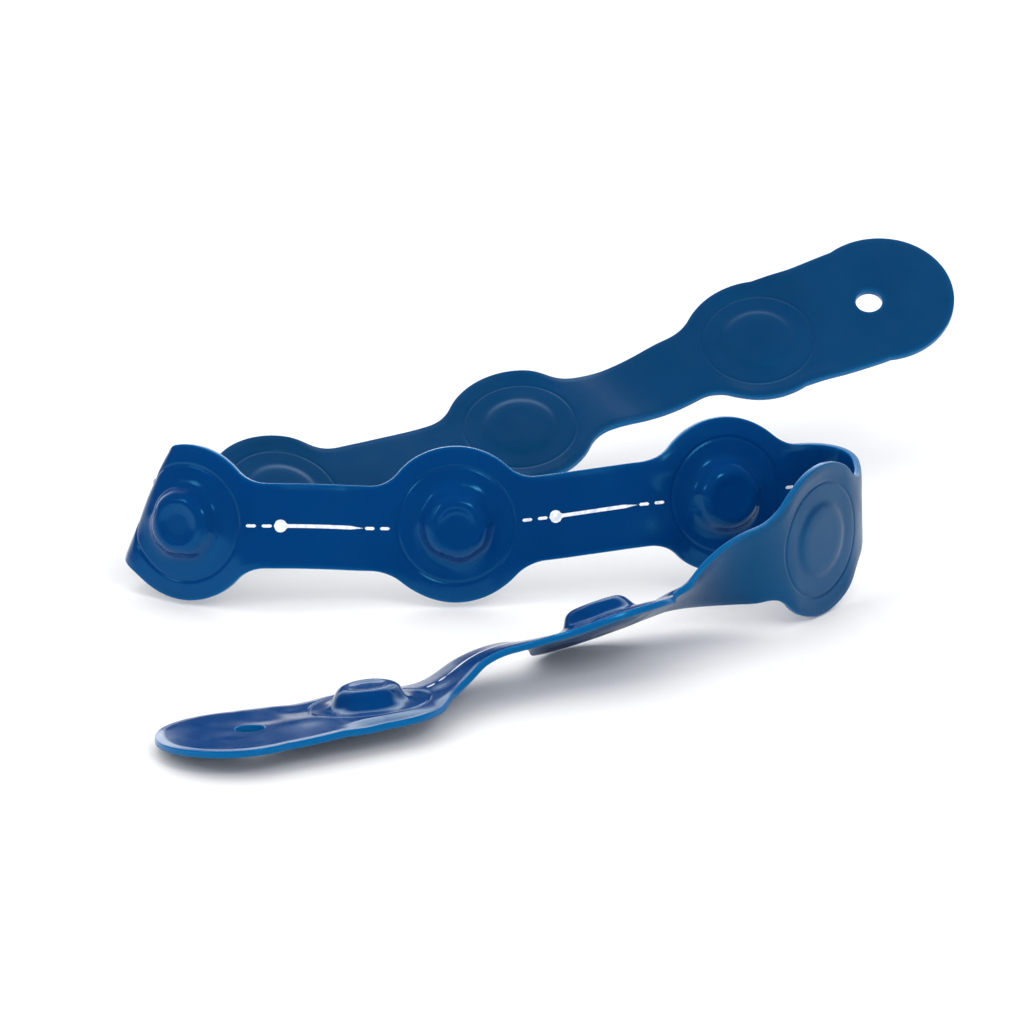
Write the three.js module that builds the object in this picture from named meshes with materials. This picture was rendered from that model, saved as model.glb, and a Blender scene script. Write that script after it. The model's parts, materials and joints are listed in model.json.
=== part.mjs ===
// Magnetic wrist pin holder: one long soft strap of two welded plastic sheets, with nine disc
// magnets in round pods and a punched hole in each rounded end tab. It is shown put down limp,
// folded into a zig-zag that stands partly on its edges.
//
// Units are millimetres and degrees. +Z is up, and the strap rests on the plane Z = 0.
// A place on the strap has three numbers: its station along the centre line, counted from the
// middle magnet, its distance across the centre line, and its height above the weld plane on
// the domed side.
//
// The two sheets run unbroken from end to end. They are cut here at the middle of each neck and
// beside each tab, where the strap bends, so that every stiff pod is a body of its own.

import * as THREE from "three";

// ---------------------------------------------------------------- driving dimensions

const POD_COUNT = 9;
const PITCH = 65; // from one magnet's centre to the next
const POD_RADIUS = 18.5;
const NECK_HALF_WIDTH = 10;
const FILLET_RADIUS = 10; // where a neck runs into a pod
const TAB_HALF_WIDTH = 17.7; // the almost straight sides of an end tab
const TAB_END = 33; // from the last magnet to the centre of the tab's round end
const TAB_CUT = 20; // from the last magnet to the line where the tab bends
const HOLE_STATION = 30; // from the last magnet to the centre of the punched hole
const HOLE_RADIUS = 3.3;

const WELD_GAP = 0.3; // clearance between the two sheets
const SHEET = 0.8; // thickness of each sheet
const CUT_GAP = 2; // clearance between neighbouring bodies, so that they can bend

const MAGNET_RADIUS = 6.5;
const MAGNET_THICKNESS = 4;
const MAGNET_CHAMFER = 0.4;
const MAGNET_CLEARANCE = 0.3; // around the magnet in its pocket
const DOME_RADIUS = 9; // the dome's foot
const DOME_SHOULDER_RADIUS = 7.6;
const DOME_TOP_RADIUS = 6; // the flat top of the dome
const DOME_SHOULDER_DROP = 0.9; // from the flat top down to the shoulder

// ---------------------------------------------------------------- derived dimensions

const INNER = WELD_GAP / 2;
const OUTER = INNER + SHEET;
const MAGNET_BASE = INNER + MAGNET_CLEARANCE;
const POCKET_RADIUS = MAGNET_RADIUS + MAGNET_CLEARANCE;
const POCKET_ROOF = MAGNET_BASE + MAGNET_THICKNESS + MAGNET_CLEARANCE;
const DOME_TOP = POCKET_ROOF + SHEET;

const MIDDLE_POD = (POD_COUNT + 1) / 2;
const LAST_MAGNET = (POD_COUNT - MIDDLE_POD) * PITCH;
const NECK_REACH = PITCH / 2 - CUT_GAP / 2;
const TAB_SIDE_REACH = TAB_CUT - CUT_GAP / 2;
const TAB_INWARD_REACH = HOLE_STATION - TAB_CUT - CUT_GAP / 2;
const TAB_END_OFFSET = TAB_END - HOLE_STATION;

const FILLET_LIFT = NECK_HALF_WIDTH + FILLET_RADIUS;
const FILLET_DISTANCE = POD_RADIUS + FILLET_RADIUS;
const FILLET_STATION = Math.sqrt(FILLET_DISTANCE ** 2 - FILLET_LIFT ** 2);

const QUARTER_TURN = Math.PI / 2;
const radians = THREE.MathUtils.degToRad;

// ---------------------------------------------------------------- rest shape

// The middle pod's heading, how far it leans back, and how far it tips up along the strap.
const MIDDLE_POSE = { yaw: 2, lean: 13, roll: 3 };

// The strap bends only between its stiff pods. Each bend is centred at a station, is spread over
// a length, and turns about the width (bend), the length (twist) and the face normal (sway).
const POD_SIDE = 18; // from a magnet to the middle of the bend beside its pod
const SIDE_SPREAD = 18;
const NECK_SPREAD = 22;

// The turns between each two magnets: beside the first pod, in the middle of the neck, and
// beside the second pod, each as [bend, twist, sway].
const SPANS = [
  [[-11, -3, -5], [24, 13, 1], [-10, -7, 0]],
  [[7, 1, -1], [4, -4, -1], [2, -3, -2]],
  [[-3, -4, 0], [63, -52, 0], [-12, -19, 1]],
  [[35, -7, 1], [-1, -4, -3], [-7, 11, 7]],
  [[5, -5, 4], [-3, -7, 0], [18, 15, -2]],
  [[35, 10, -2], [3, 1, 2], [-44, 3, 9]],
  [[-43, -11, -17], [23, -43, 7], [-11, -8, 21]],
  [[-9, -12, -27], [32, 2, 24], [-26, -14, -9]],
];
const TAB_A_TURN = [0, 4, 2];
const TAB_B_TURN = [-2, -2, -8];

// The left fold is a crease beside the fourth magnet, at a slant across the strap, and the right
// fold is a round loop beyond the sixth.
const CREASE = { at: -77, over: 7, turn: [81, 32, 8], slant: 17, fade: 22 };
const LOOP = { at: 94, over: 22, turn: [-142, 16, 0] };

function bendOf(at, over, [bend, twist, sway]) {
  return { at, over, bend, twist, sway };
}

function allBends() {
  const bends = [
    bendOf(-LAST_MAGNET - POD_SIDE, SIDE_SPREAD, TAB_A_TURN),
    bendOf(LAST_MAGNET + POD_SIDE, SIDE_SPREAD, TAB_B_TURN),
    bendOf(CREASE.at, CREASE.over, CREASE.turn),
    bendOf(LOOP.at, LOOP.over, LOOP.turn),
  ];
  SPANS.forEach(([first, middle, second], span) => {
    const start = span * PITCH - LAST_MAGNET;
    bends.push(bendOf(start + POD_SIDE, SIDE_SPREAD, first));
    bends.push(bendOf(start + PITCH / 2, NECK_SPREAD, middle));
    bends.push(bendOf(start + PITCH - POD_SIDE, SIDE_SPREAD, second));
  });
  return bends;
}

const BENDS = allBends();

const STEP = 0.5;
const END_STATION = LAST_MAGNET + TAB_END + POD_RADIUS + 1;
const STEPS_EACH_WAY = Math.ceil(END_STATION / STEP);

// The share of a bend that falls on one millimetre at a station: even, with soft ends.
function bendDensity(bend, station) {
  const u = (2 * (station - bend.at)) / bend.over;
  return Math.abs(u) < 1 ? (1.25 * (1 - u ** 4)) / bend.over : 0;
}

// The turn of the strap's frame over one step, as a rotation in that frame's own axes.
function stepRotation(station) {
  const turn = new THREE.Vector3();
  for (const bend of BENDS) {
    const share = bendDensity(bend, station) * STEP;
    turn.x += radians(bend.twist) * share;
    turn.y += radians(bend.bend) * share;
    turn.z += radians(bend.sway) * share;
  }
  const angle = turn.length();
  return new THREE.Quaternion().setFromAxisAngle(turn.normalize(), angle);
}

// The middle pod's frame: x runs along the strap, y across it, and z out of the domed side.
function middleFrame() {
  const yaw = radians(MIDDLE_POSE.yaw);
  const along = new THREE.Vector3(Math.cos(yaw), Math.sin(yaw), 0);
  const up = new THREE.Vector3(0, 0, 1);
  const upright = new THREE.Matrix4().makeBasis(along, up, along.clone().cross(up));
  const tilt = new THREE.Euler(-radians(MIDDLE_POSE.lean), 0, radians(MIDDLE_POSE.roll), "XYZ");
  const tilted = new THREE.Quaternion().setFromEuler(tilt);
  return new THREE.Quaternion().setFromRotationMatrix(upright).multiply(tilted);
}

function alongOf(turn) {
  return new THREE.Vector3(1, 0, 0).applyQuaternion(turn);
}

// Frames at every step from the middle pod outwards in one direction (+1 or -1).
function walk(direction) {
  const frames = [{ place: new THREE.Vector3(), turn: middleFrame() }];
  for (let i = 0; i < STEPS_EACH_WAY; i++) {
    const { place, turn } = frames[i];
    const rotation = stepRotation(direction * (i + 0.5) * STEP);
    if (direction < 0) rotation.invert();
    const nextTurn = turn.clone().multiply(rotation);
    const move = alongOf(turn).add(alongOf(nextTurn)).multiplyScalar((direction * STEP) / 2);
    frames.push({ place: place.clone().add(move), turn: nextTurn });
  }
  return frames;
}

const FRAMES = [...walk(-1).reverse(), ...walk(1).slice(1)];

// The strap's frame at a station.
function frameAt(station) {
  const steps = station / STEP + STEPS_EACH_WAY;
  const index = THREE.MathUtils.clamp(Math.floor(steps), 0, FRAMES.length - 2);
  const part = steps - index;
  const here = FRAMES[index];
  const next = FRAMES[index + 1];
  return {
    place: here.place.clone().lerp(next.place, part),
    turn: here.turn.clone().slerp(next.turn, part),
  };
}

// The slope of the lines along which the strap doesn't bend: square across it, except near the
// crease.
function slantAt(station) {
  const u = Math.min(Math.abs(station - CREASE.at) / CREASE.fade, 1);
  return Math.tan((radians(CREASE.slant) * (1 + Math.cos(Math.PI * u))) / 2);
}

// The point in space of a place on the strap.
function pointAt(station, across, height) {
  let crossing = station;
  for (let i = 0; i < 8; i++) crossing = station - across * slantAt(crossing);
  const { place, turn } = frameAt(crossing);
  const offset = new THREE.Vector3(across * slantAt(crossing), across, height);
  return offset.applyQuaternion(turn).add(place);
}

// ---------------------------------------------------------------- outlines

// Each body's outline is given as the distance from its centre at an angle. Angle 0 looks along
// the strap, and every outline is the same on both sides of the centre line.

const FILLET_START = Math.atan2(NECK_HALF_WIDTH, FILLET_STATION);
const FILLET_END = Math.acos(FILLET_STATION / FILLET_DISTANCE);

// A neck: the pod's circle, a fillet, the straight side and the cut across the neck.
const neckEnd = {
  angles: [
    0,
    Math.atan2(NECK_HALF_WIDTH, NECK_REACH),
    FILLET_START,
    (FILLET_START + FILLET_END) / 2,
    FILLET_END,
    (FILLET_END + QUARTER_TURN) / 2,
  ],
  reach(angle) {
    if (angle >= FILLET_END) return POD_RADIUS;
    if (angle <= FILLET_START) {
      return Math.min(NECK_REACH / Math.cos(angle), NECK_HALF_WIDTH / Math.sin(angle));
    }
    const along = FILLET_STATION * Math.cos(angle) + FILLET_LIFT * Math.sin(angle);
    return along - Math.sqrt(FILLET_RADIUS ** 2 - FILLET_DISTANCE ** 2 + along ** 2);
  },
};

const WAIST_ANGLE = Math.asin(TAB_HALF_WIDTH / POD_RADIUS);
const TAB_CORNER = Math.atan2(TAB_HALF_WIDTH, TAB_SIDE_REACH);

// The side of an end pod that faces its tab: nearly as wide as the pod itself.
const tabSideEnd = {
  angles: [0, TAB_CORNER / 2, TAB_CORNER, (TAB_CORNER + WAIST_ANGLE) / 2, WAIST_ANGLE],
  reach(angle) {
    if (angle >= WAIST_ANGLE) return POD_RADIUS;
    return Math.min(TAB_SIDE_REACH / Math.cos(angle), TAB_HALF_WIDTH / Math.sin(angle));
  },
};

// A tab seen from its hole: angle 0 looks at the round tip.
const TAB_ARC_END = TAB_END_OFFSET - Math.sqrt(POD_RADIUS ** 2 - TAB_HALF_WIDTH ** 2);
const TAB_ARC_ANGLE = Math.atan2(TAB_HALF_WIDTH, TAB_ARC_END);
const TAB_INNER_CORNER = Math.atan2(TAB_HALF_WIDTH, -TAB_INWARD_REACH);
const TIP_RAYS = 6;

function tabReach(angle) {
  const aside = TAB_END_OFFSET * Math.sin(angle);
  const round = TAB_END_OFFSET * Math.cos(angle) + Math.sqrt(POD_RADIUS ** 2 - aside ** 2);
  if (angle <= TAB_ARC_ANGLE) return round;
  const side = TAB_HALF_WIDTH / Math.max(Math.sin(angle), 1e-9);
  return Math.min(side, -TAB_INWARD_REACH / Math.cos(angle));
}

function tabHalfRays() {
  const angles = [];
  for (let i = 0; i <= TIP_RAYS; i++) angles.push((TAB_ARC_ANGLE * i) / TIP_RAYS);
  angles.push((TAB_ARC_ANGLE + TAB_INNER_CORNER) / 2, TAB_INNER_CORNER);
  angles.push((TAB_INNER_CORNER + Math.PI) / 2, Math.PI);
  return angles.map((angle) => ({ angle, reach: tabReach(angle) }));
}

// The rays of a whole tab, anticlockwise.
function tabRays() {
  const half = tabHalfRays();
  const otherHalf = half
    .slice(1, -1)
    .map(({ angle, reach }) => ({ angle: 2 * Math.PI - angle, reach }))
    .reverse();
  return [...half, ...otherHalf];
}

// An end with a ray added between each two of its rays, for the end that holds the crease.
function finerEnd(end) {
  const following = [...end.angles.slice(1), QUARTER_TURN];
  const angles = end.angles.flatMap((angle, i) => [angle, (angle + following[i]) / 2]);
  return { angles, reach: end.reach };
}

// The rays of a whole pod, anticlockwise, with one kind of end ahead and one behind.
function podRays(ahead, behind) {
  const rays = [];
  const quarter = (end, start, sign) => {
    const angles = sign > 0 ? end.angles : [...end.angles, QUARTER_TURN].slice(1).reverse();
    for (const angle of angles) rays.push({ angle: start + sign * angle, reach: end.reach(angle) });
  };
  quarter(ahead, 0, 1);
  quarter(behind, Math.PI, -1);
  quarter(behind, Math.PI, 1);
  quarter(ahead, 2 * Math.PI, -1);
  return rays;
}

// ---------------------------------------------------------------- sheets

const FEWEST_FLANGE_STEPS = 3;
const MOST_FLANGE_STEPS = 9;
const TURN_PER_STEP = 25; // degrees of bend that one step may take up
const TAB_STEPS = 3;

// Where the strap bends more, its sheets are divided into more steps.
function flangeSteps(centre) {
  let turned = 0;
  for (const { at, bend } of BENDS) {
    if (Math.abs(at - centre) < PITCH / 2) turned += Math.abs(bend);
  }
  const steps = Math.ceil(turned / TURN_PER_STEP);
  return THREE.MathUtils.clamp(steps, FEWEST_FLANGE_STEPS, MOST_FLANGE_STEPS);
}

// One sheet between two heights, as rings [share of the way from the inner radius to the outline,
// height]: outwards over the domed face, then back under it.
function flangeRings(top, bottom, steps) {
  const rings = [];
  for (let i = 0; i <= steps; i++) rings.push({ share: i / steps, height: top });
  for (let i = steps; i >= 0; i--) rings.push({ share: i / steps, height: bottom });
  return rings;
}

// The front sheet of a pod: a flat-topped dome over the magnet's pocket, and the flange around it.
function frontRings(steps) {
  return [
    { radius: 0, height: DOME_TOP },
    { radius: DOME_TOP_RADIUS, height: DOME_TOP },
    { radius: DOME_SHOULDER_RADIUS, height: DOME_TOP - DOME_SHOULDER_DROP },
    ...flangeRings(OUTER, INNER, steps),
    { radius: POCKET_RADIUS, height: INNER },
    { radius: POCKET_RADIUS, height: POCKET_ROOF - MAGNET_CHAMFER },
    { radius: POCKET_RADIUS - MAGNET_CHAMFER, height: POCKET_ROOF },
    { radius: 0, height: POCKET_ROOF },
  ];
}

// The back sheet of a pod, flat behind the magnet.
function backRings(steps) {
  const faceCentre = { radius: 0, height: -INNER };
  const backCentre = { radius: 0, height: -OUTER };
  return [faceCentre, ...flangeRings(-INNER, -OUTER, steps), backCentre];
}

// A closed solid from rays around a centre and rings from the middle outwards and back. A ring at
// radius 0 is a single point. Without one, the rings close on themselves around a hole.
function ringSolid({ centre, facing, rays, rings, innerRadius }) {
  const positions = [];
  const rows = [];
  const addPoint = (radius, angle, height) => {
    const along = radius * Math.cos(angle);
    const across = radius * Math.sin(angle);
    positions.push(...pointAt(centre + facing * along, facing * across, height).toArray());
    return positions.length / 3 - 1;
  };
  for (const ring of rings) {
    if (ring.radius === 0) {
      const tip = addPoint(0, 0, ring.height);
      rows.push(rays.map(() => tip));
      continue;
    }
    rows.push(
      rays.map(({ angle, reach }) => {
        const radius = ring.radius ?? THREE.MathUtils.lerp(innerRadius, reach, ring.share);
        return addPoint(radius, angle, ring.height);
      }),
    );
  }
  const rim = rings.findIndex((ring) => ring.share === 1);
  const open = rings[0].radius === 0;
  const bands = open ? rows.length - 1 : rows.length;
  const index = [];
  const addTriangle = (a, b, c) => {
    if (a !== b && b !== c && c !== a) index.push(a, b, c);
  };
  for (let i = 0; i < bands; i++) {
    const near = rows[i];
    const far = rows[(i + 1) % rows.length];
    // Both faces of both sheets are split along the same diagonals, so that they bend alike.
    const inward = i > rim;
    for (let j = 0; j < rays.length; j++) {
      const k = (j + 1) % rays.length;
      addTriangle(near[j], far[j], inward ? near[k] : far[k]);
      addTriangle(inward ? far[j] : near[j], far[k], near[k]);
    }
  }
  const geometry = new THREE.BufferGeometry();
  geometry.setAttribute("position", new THREE.Float32BufferAttribute(positions, 3));
  geometry.setIndex(index);
  geometry.computeVertexNormals();
  return geometry;
}

// ---------------------------------------------------------------- assembly

const MATERIALS = {
  front: new THREE.MeshStandardMaterial({ color: 0x063c86, roughness: 0.22, metalness: 0 }),
  back: new THREE.MeshStandardMaterial({ color: 0x0a3a7c, roughness: 0.5, metalness: 0 }),
  magnet: new THREE.MeshStandardMaterial({ color: 0xb9bcc0, roughness: 0.28, metalness: 1 }),
};

const strap = new THREE.Group();

function addPart(name, geometry, material) {
  const mesh = new THREE.Mesh(geometry, material);
  mesh.name = name;
  strap.add(mesh);
  return mesh;
}

function addPod(number) {
  const centre = (number - MIDDLE_POD) * PITCH;
  const ahead = number === POD_COUNT ? tabSideEnd : neckEnd;
  const creased = Math.abs(CREASE.at - centre) < PITCH / 2;
  const plainBehind = number === 1 ? tabSideEnd : neckEnd;
  const behind = creased ? finerEnd(plainBehind) : plainBehind;
  const steps = flangeSteps(centre);
  const shape = { centre, facing: 1, rays: podRays(ahead, behind), innerRadius: DOME_RADIUS };
  addPart(`pod_${number}_front_skin`, ringSolid({ ...shape, rings: frontRings(steps) }), MATERIALS.front);
  addPart(`pod_${number}_back_skin`, ringSolid({ ...shape, rings: backRings(steps) }), MATERIALS.back);
}

function addMagnet(number) {
  const rim = MAGNET_RADIUS - MAGNET_CHAMFER;
  const half = MAGNET_THICKNESS / 2;
  const profile = [
    new THREE.Vector2(0, -half),
    new THREE.Vector2(rim, -half),
    new THREE.Vector2(MAGNET_RADIUS, MAGNET_CHAMFER - half),
    new THREE.Vector2(MAGNET_RADIUS, half - MAGNET_CHAMFER),
    new THREE.Vector2(rim, half),
    new THREE.Vector2(0, half),
  ];
  const disc = new THREE.LatheGeometry(profile, 20).rotateX(QUARTER_TURN);
  const mesh = addPart(`magnet_${number}`, disc, MATERIALS.magnet);
  const station = (number - MIDDLE_POD) * PITCH;
  mesh.position.copy(pointAt(station, 0, MAGNET_BASE + half));
  mesh.quaternion.copy(frameAt(station).turn);
}

// End tab a is at the first pod and faces back along the strap, and tab b is at the last.
function addTab(letter, facing) {
  const centre = facing * (LAST_MAGNET + HOLE_STATION);
  const shape = { centre, facing, rays: tabRays(), innerRadius: HOLE_RADIUS };
  const front = ringSolid({ ...shape, rings: flangeRings(OUTER, INNER, TAB_STEPS) });
  const back = ringSolid({ ...shape, rings: flangeRings(-INNER, -OUTER, TAB_STEPS) });
  addPart(`tab_${letter}_front_skin`, front, MATERIALS.front);
  addPart(`tab_${letter}_back_skin`, back, MATERIALS.back);
}

addTab("a", -1);
for (let number = 1; number <= POD_COUNT; number++) {
  addPod(number);
  addMagnet(number);
}
addTab("b", 1);

// The origin is on the table, under the middle of the strap's bounding box.
const box = new THREE.Box3().setFromObject(strap, true);
const middle = box.getCenter(new THREE.Vector3());
strap.position.set(-middle.x, -middle.y, -box.min.z);

// Where the strap bends: each hinge's place, and its axis across the strap.
function hingeAt(station) {
  const { place, turn } = frameAt(station);
  const axis = new THREE.Vector3(0, 1, 0).applyQuaternion(turn);
  return { station, place: place.clone().add(strap.position).toArray(), axis: axis.toArray() };
}

const hingeStations = [-LAST_MAGNET - TAB_CUT];
for (let number = 1; number < POD_COUNT; number++) hingeStations.push((number + 0.5 - MIDDLE_POD) * PITCH);
hingeStations.push(LAST_MAGNET + TAB_CUT);
strap.userData.hinges = hingeStations.map(hingeAt);

export default strap;
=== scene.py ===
"""Magnetic wrist pin holder: a limp strap of two welded plastic sheets, lying in a zig-zag.

Lengths are millimetres and angles are degrees until a mesh is made, and +Z is up. A place on the
strap has three numbers: its station along the centre line, counted from the middle magnet, its
distance across the centre line, and its height above the weld plane on the domed side. Every
piece is drawn flat in those numbers, then carried into the strap's rest shape.
"""

import json
import math

import bmesh
import bpy
import numpy as np
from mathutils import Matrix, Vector


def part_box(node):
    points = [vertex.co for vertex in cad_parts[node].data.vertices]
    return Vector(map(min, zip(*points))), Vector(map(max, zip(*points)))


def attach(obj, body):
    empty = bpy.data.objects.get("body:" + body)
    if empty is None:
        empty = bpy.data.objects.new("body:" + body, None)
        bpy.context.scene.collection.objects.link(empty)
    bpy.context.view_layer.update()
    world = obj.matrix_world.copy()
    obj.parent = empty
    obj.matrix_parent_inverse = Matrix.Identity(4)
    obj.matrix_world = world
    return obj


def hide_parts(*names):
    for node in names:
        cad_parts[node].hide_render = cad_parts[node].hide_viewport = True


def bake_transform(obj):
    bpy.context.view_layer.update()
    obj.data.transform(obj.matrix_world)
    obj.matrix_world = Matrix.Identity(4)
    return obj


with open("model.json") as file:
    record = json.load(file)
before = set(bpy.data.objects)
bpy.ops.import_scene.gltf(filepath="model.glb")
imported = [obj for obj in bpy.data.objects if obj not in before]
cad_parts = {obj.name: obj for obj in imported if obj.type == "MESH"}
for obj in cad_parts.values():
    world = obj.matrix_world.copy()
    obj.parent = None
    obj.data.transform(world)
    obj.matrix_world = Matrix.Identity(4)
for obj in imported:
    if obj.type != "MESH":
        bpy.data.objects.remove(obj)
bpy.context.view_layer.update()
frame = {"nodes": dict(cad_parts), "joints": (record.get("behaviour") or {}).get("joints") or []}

MM = 0.001

# ------------------------------------------------------------------ driving dimensions

POD_COUNT = 9
PITCH = 65.0
POD_RADIUS = 18.5
NECK_HALF_WIDTH = 10.0
FILLET_RADIUS = 10.0
TAB_HALF_WIDTH = 17.7
TAB_END = 33.0
HOLE_STATION = 30.0
HOLE_RADIUS = 3.3

WELD = 0.02  # half of the clearance left between the welded sheets
FACE = 0.95  # the flat faces, above and below the weld plane
MAGNET_ROOF = 4.75  # the pocket's roof, just above the magnet
MAGNET_MIDDLE = 2.45  # the height of the magnet's centre

RIM_ROUNDING = 0.3
RIM_DROP = 0.15  # how much each sheet thins towards its edge
RIM_WIDTH = 2.0

POD_CUT = 22.5  # from a magnet to the line where its stiff pod ends and the neck begins
TAB_POD_CUT = 15.4  # the same, on an end pod's tab side
TAB_CUT = 24.6  # from the last magnet to the line where the stiff tab begins
CUT_MARGIN = 1.4  # how far past the faces a cut is taken to reach, for the waves and the curl
SHORTEST_BEND = 3.0

# ------------------------------------------------------------------ derived dimensions

MIDDLE_POD = (POD_COUNT + 1) // 2
LAST_MAGNET = (POD_COUNT - MIDDLE_POD) * PITCH
FILLET_LIFT = NECK_HALF_WIDTH + FILLET_RADIUS
FILLET_STATION = math.sqrt((POD_RADIUS + FILLET_RADIUS) ** 2 - FILLET_LIFT ** 2)
TAB_WAIST = math.sqrt(POD_RADIUS ** 2 - TAB_HALF_WIDTH ** 2)
TAB_ARC = TAB_END - TAB_WAIST

# ------------------------------------------------------------------ rest shape

MIDDLE_POSE = {"yaw": 2, "lean": 13, "roll": 3}
POD_SIDE = 18
SIDE_SPREAD = 18
NECK_SPREAD = 22

# The turns between each two magnets: beside the first pod, in the middle of the neck, and
# beside the second pod, each as (bend, twist, sway). These turns, and those of the tabs, the
# crease and the loop, come from a fit to the photo and are rounded to whole degrees.
SPANS = [
    [(-11, -3, -5), (24, 13, 1), (-10, -7, 0)],
    [(7, 1, -1), (4, -4, -1), (2, -3, -2)],
    [(-3, -4, 0), (63, -52, 0), (-12, -19, 1)],
    [(35, -7, 1), (-1, -4, -3), (-7, 11, 7)],
    [(5, -5, 4), (-3, -7, 0), (18, 15, -2)],
    [(35, 10, -2), (3, 1, 2), (-44, 3, 9)],
    [(-43, -11, -17), (23, -43, 7), (-11, -8, 21)],
    [(-9, -12, -27), (32, 2, 24), (-26, -14, -9)],
]
TAB_A_TURN = (0, 4, 2)
TAB_B_TURN = (-2, -2, -8)
CREASE = {"at": -77, "over": 7, "turn": (81, 32, 8), "slant": 17, "fade": 22}
LOOP = {"at": 94, "over": 22, "turn": (-142, 16, 0)}

STEP = 0.5
BEND_PEAK = 1.25  # makes the shares of a bend that fades as a fourth power add up to 1
SLANT_ROUNDS = 8
PLACE_TOLERANCE = 0.1  # how near a packed magnet must be to where this shape puts it
STEPS_EACH_WAY = math.ceil((LAST_MAGNET + TAB_END + POD_RADIUS + 1) / STEP)


def all_bends():
    """Every bend as (station, length it is spread over, (bend, twist, sway))."""
    bends = [
        (-LAST_MAGNET - POD_SIDE, SIDE_SPREAD, TAB_A_TURN),
        (LAST_MAGNET + POD_SIDE, SIDE_SPREAD, TAB_B_TURN),
        (CREASE["at"], CREASE["over"], CREASE["turn"]),
        (LOOP["at"], LOOP["over"], LOOP["turn"]),
    ]
    for span, (first, middle, second) in enumerate(SPANS):
        start = span * PITCH - LAST_MAGNET
        bends.append((start + POD_SIDE, SIDE_SPREAD, first))
        bends.append((start + PITCH / 2, NECK_SPREAD, middle))
        bends.append((start + PITCH - POD_SIDE, SIDE_SPREAD, second))
    return bends


BENDS = all_bends()


def rotation(turn):
    """The matrix of a rotation given as a vector in radians."""
    angle = np.linalg.norm(turn)
    if angle < 1e-12:
        return np.eye(3)
    x, y, z = turn / angle
    cross = np.array([[0, -z, y], [z, 0, -x], [-y, x, 0]])
    return np.eye(3) + math.sin(angle) * cross + (1 - math.cos(angle)) * cross @ cross


def step_rotation(station):
    """The turn of the strap's frame over one step, in that frame's own axes."""
    turn = np.zeros(3)
    for at, over, (bend, twist, sway) in BENDS:
        u = 2 * (station - at) / over
        if abs(u) < 1:
            share = BEND_PEAK * (1 - u ** 4) / over * STEP
            turn += np.radians([twist, bend, sway]) * share
    return rotation(turn)


def middle_axes():
    """The middle pod's frame: x along the strap, y across it, z out of the domed side."""
    yaw = math.radians(MIDDLE_POSE["yaw"])
    along = np.array([math.cos(yaw), math.sin(yaw), 0])
    up = np.array([0, 0, 1])
    upright = np.column_stack([along, up, np.cross(along, up)])
    lean = rotation(np.radians([-MIDDLE_POSE["lean"], 0, 0]))
    roll = rotation(np.radians([0, 0, MIDDLE_POSE["roll"]]))
    return upright @ lean @ roll


def walk(direction):
    """Places and frames at every step from the middle pod outwards, in one direction."""
    places = [np.zeros(3)]
    axes = [middle_axes()]
    for i in range(STEPS_EACH_WAY):
        turn = step_rotation(direction * (i + 0.5) * STEP)
        following = axes[-1] @ (turn if direction > 0 else turn.T)
        places.append(places[-1] + (axes[-1][:, 0] + following[:, 0]) * direction * STEP / 2)
        axes.append(following)
    return places, axes


def all_frames():
    behind_places, behind_axes = walk(-1)
    ahead_places, ahead_axes = walk(1)
    places = np.array(behind_places[::-1] + ahead_places[1:])
    axes = np.array(behind_axes[::-1] + ahead_axes[1:])
    return places, axes


PLACES, AXES = all_frames()


def frame_at(station):
    """The strap's places and frames at an array of stations."""
    steps = station / STEP + STEPS_EACH_WAY
    index = np.clip(np.floor(steps).astype(int), 0, len(PLACES) - 2)
    part = (steps - index)[:, None]
    chord = PLACES[index + 1] - PLACES[index]
    leaving = AXES[index][:, :, 0] * STEP - chord
    arriving = chord - AXES[index + 1][:, :, 0] * STEP
    places = PLACES[index] + chord * part
    places += part * (1 - part) * (leaving * (1 - part) + arriving * part)
    part = part[:, :, None]
    axes = AXES[index] * (1 - part) + AXES[index + 1] * part
    return places, axes / np.linalg.norm(axes, axis=1, keepdims=True)


def slant_at(station):
    u = np.minimum(np.abs(station - CREASE["at"]) / CREASE["fade"], 1)
    return np.tan(math.radians(CREASE["slant"]) * (1 + np.cos(np.pi * u)) / 2)


def flat_to_rest(station, across, height):
    """Places on the strap, carried into the rest shape, in millimetres from station 0."""
    crossing = station
    for _ in range(SLANT_ROUNDS):
        crossing = station - across * slant_at(crossing)
    places, axes = frame_at(crossing)
    offset = np.column_stack([across * slant_at(crossing), across, height])
    return places + np.einsum("nij,nj->ni", axes, offset)


def middle_place():
    """Where station 0 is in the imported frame, from the neck hinge beside it."""
    hinge = next(j for j in frame["joints"] if j["name"] == "neck_5_6_bend")
    local = flat_to_rest(np.array([PITCH / 2]), np.zeros(1), np.zeros(1))[0]
    return np.array(hinge["pos_m"]) / MM - local


ORIGIN = middle_place()


def strap_points(station, across, height):
    """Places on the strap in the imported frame, in metres, as rows of three."""
    station, across, height = np.broadcast_arrays(station, across, height)
    flat = [np.asarray(v, float).ravel() for v in (station, across, height)]
    return (flat_to_rest(*flat) + ORIGIN) * MM


def check_magnets():
    """Stops the script if this rest shape isn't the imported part's."""
    for number in range(1, POD_COUNT + 1):
        low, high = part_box(f"magnet_{number}")
        station = (number - MIDDLE_POD) * PITCH
        here = strap_points(station, 0, MAGNET_MIDDLE)[0]
        if (Vector(here) - (low + high) / 2).length > PLACE_TOLERANCE * MM:
            raise ValueError(f"magnet_{number} isn't where the rest shape puts its pod")


check_magnets()

# ------------------------------------------------------------------ outline


def smooth(value, low, high):
    """0 below low, 1 above high, and an even slope between."""
    t = np.clip((value - low) / (high - low), 0, 1)
    return t * t * (3 - 2 * t)


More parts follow.
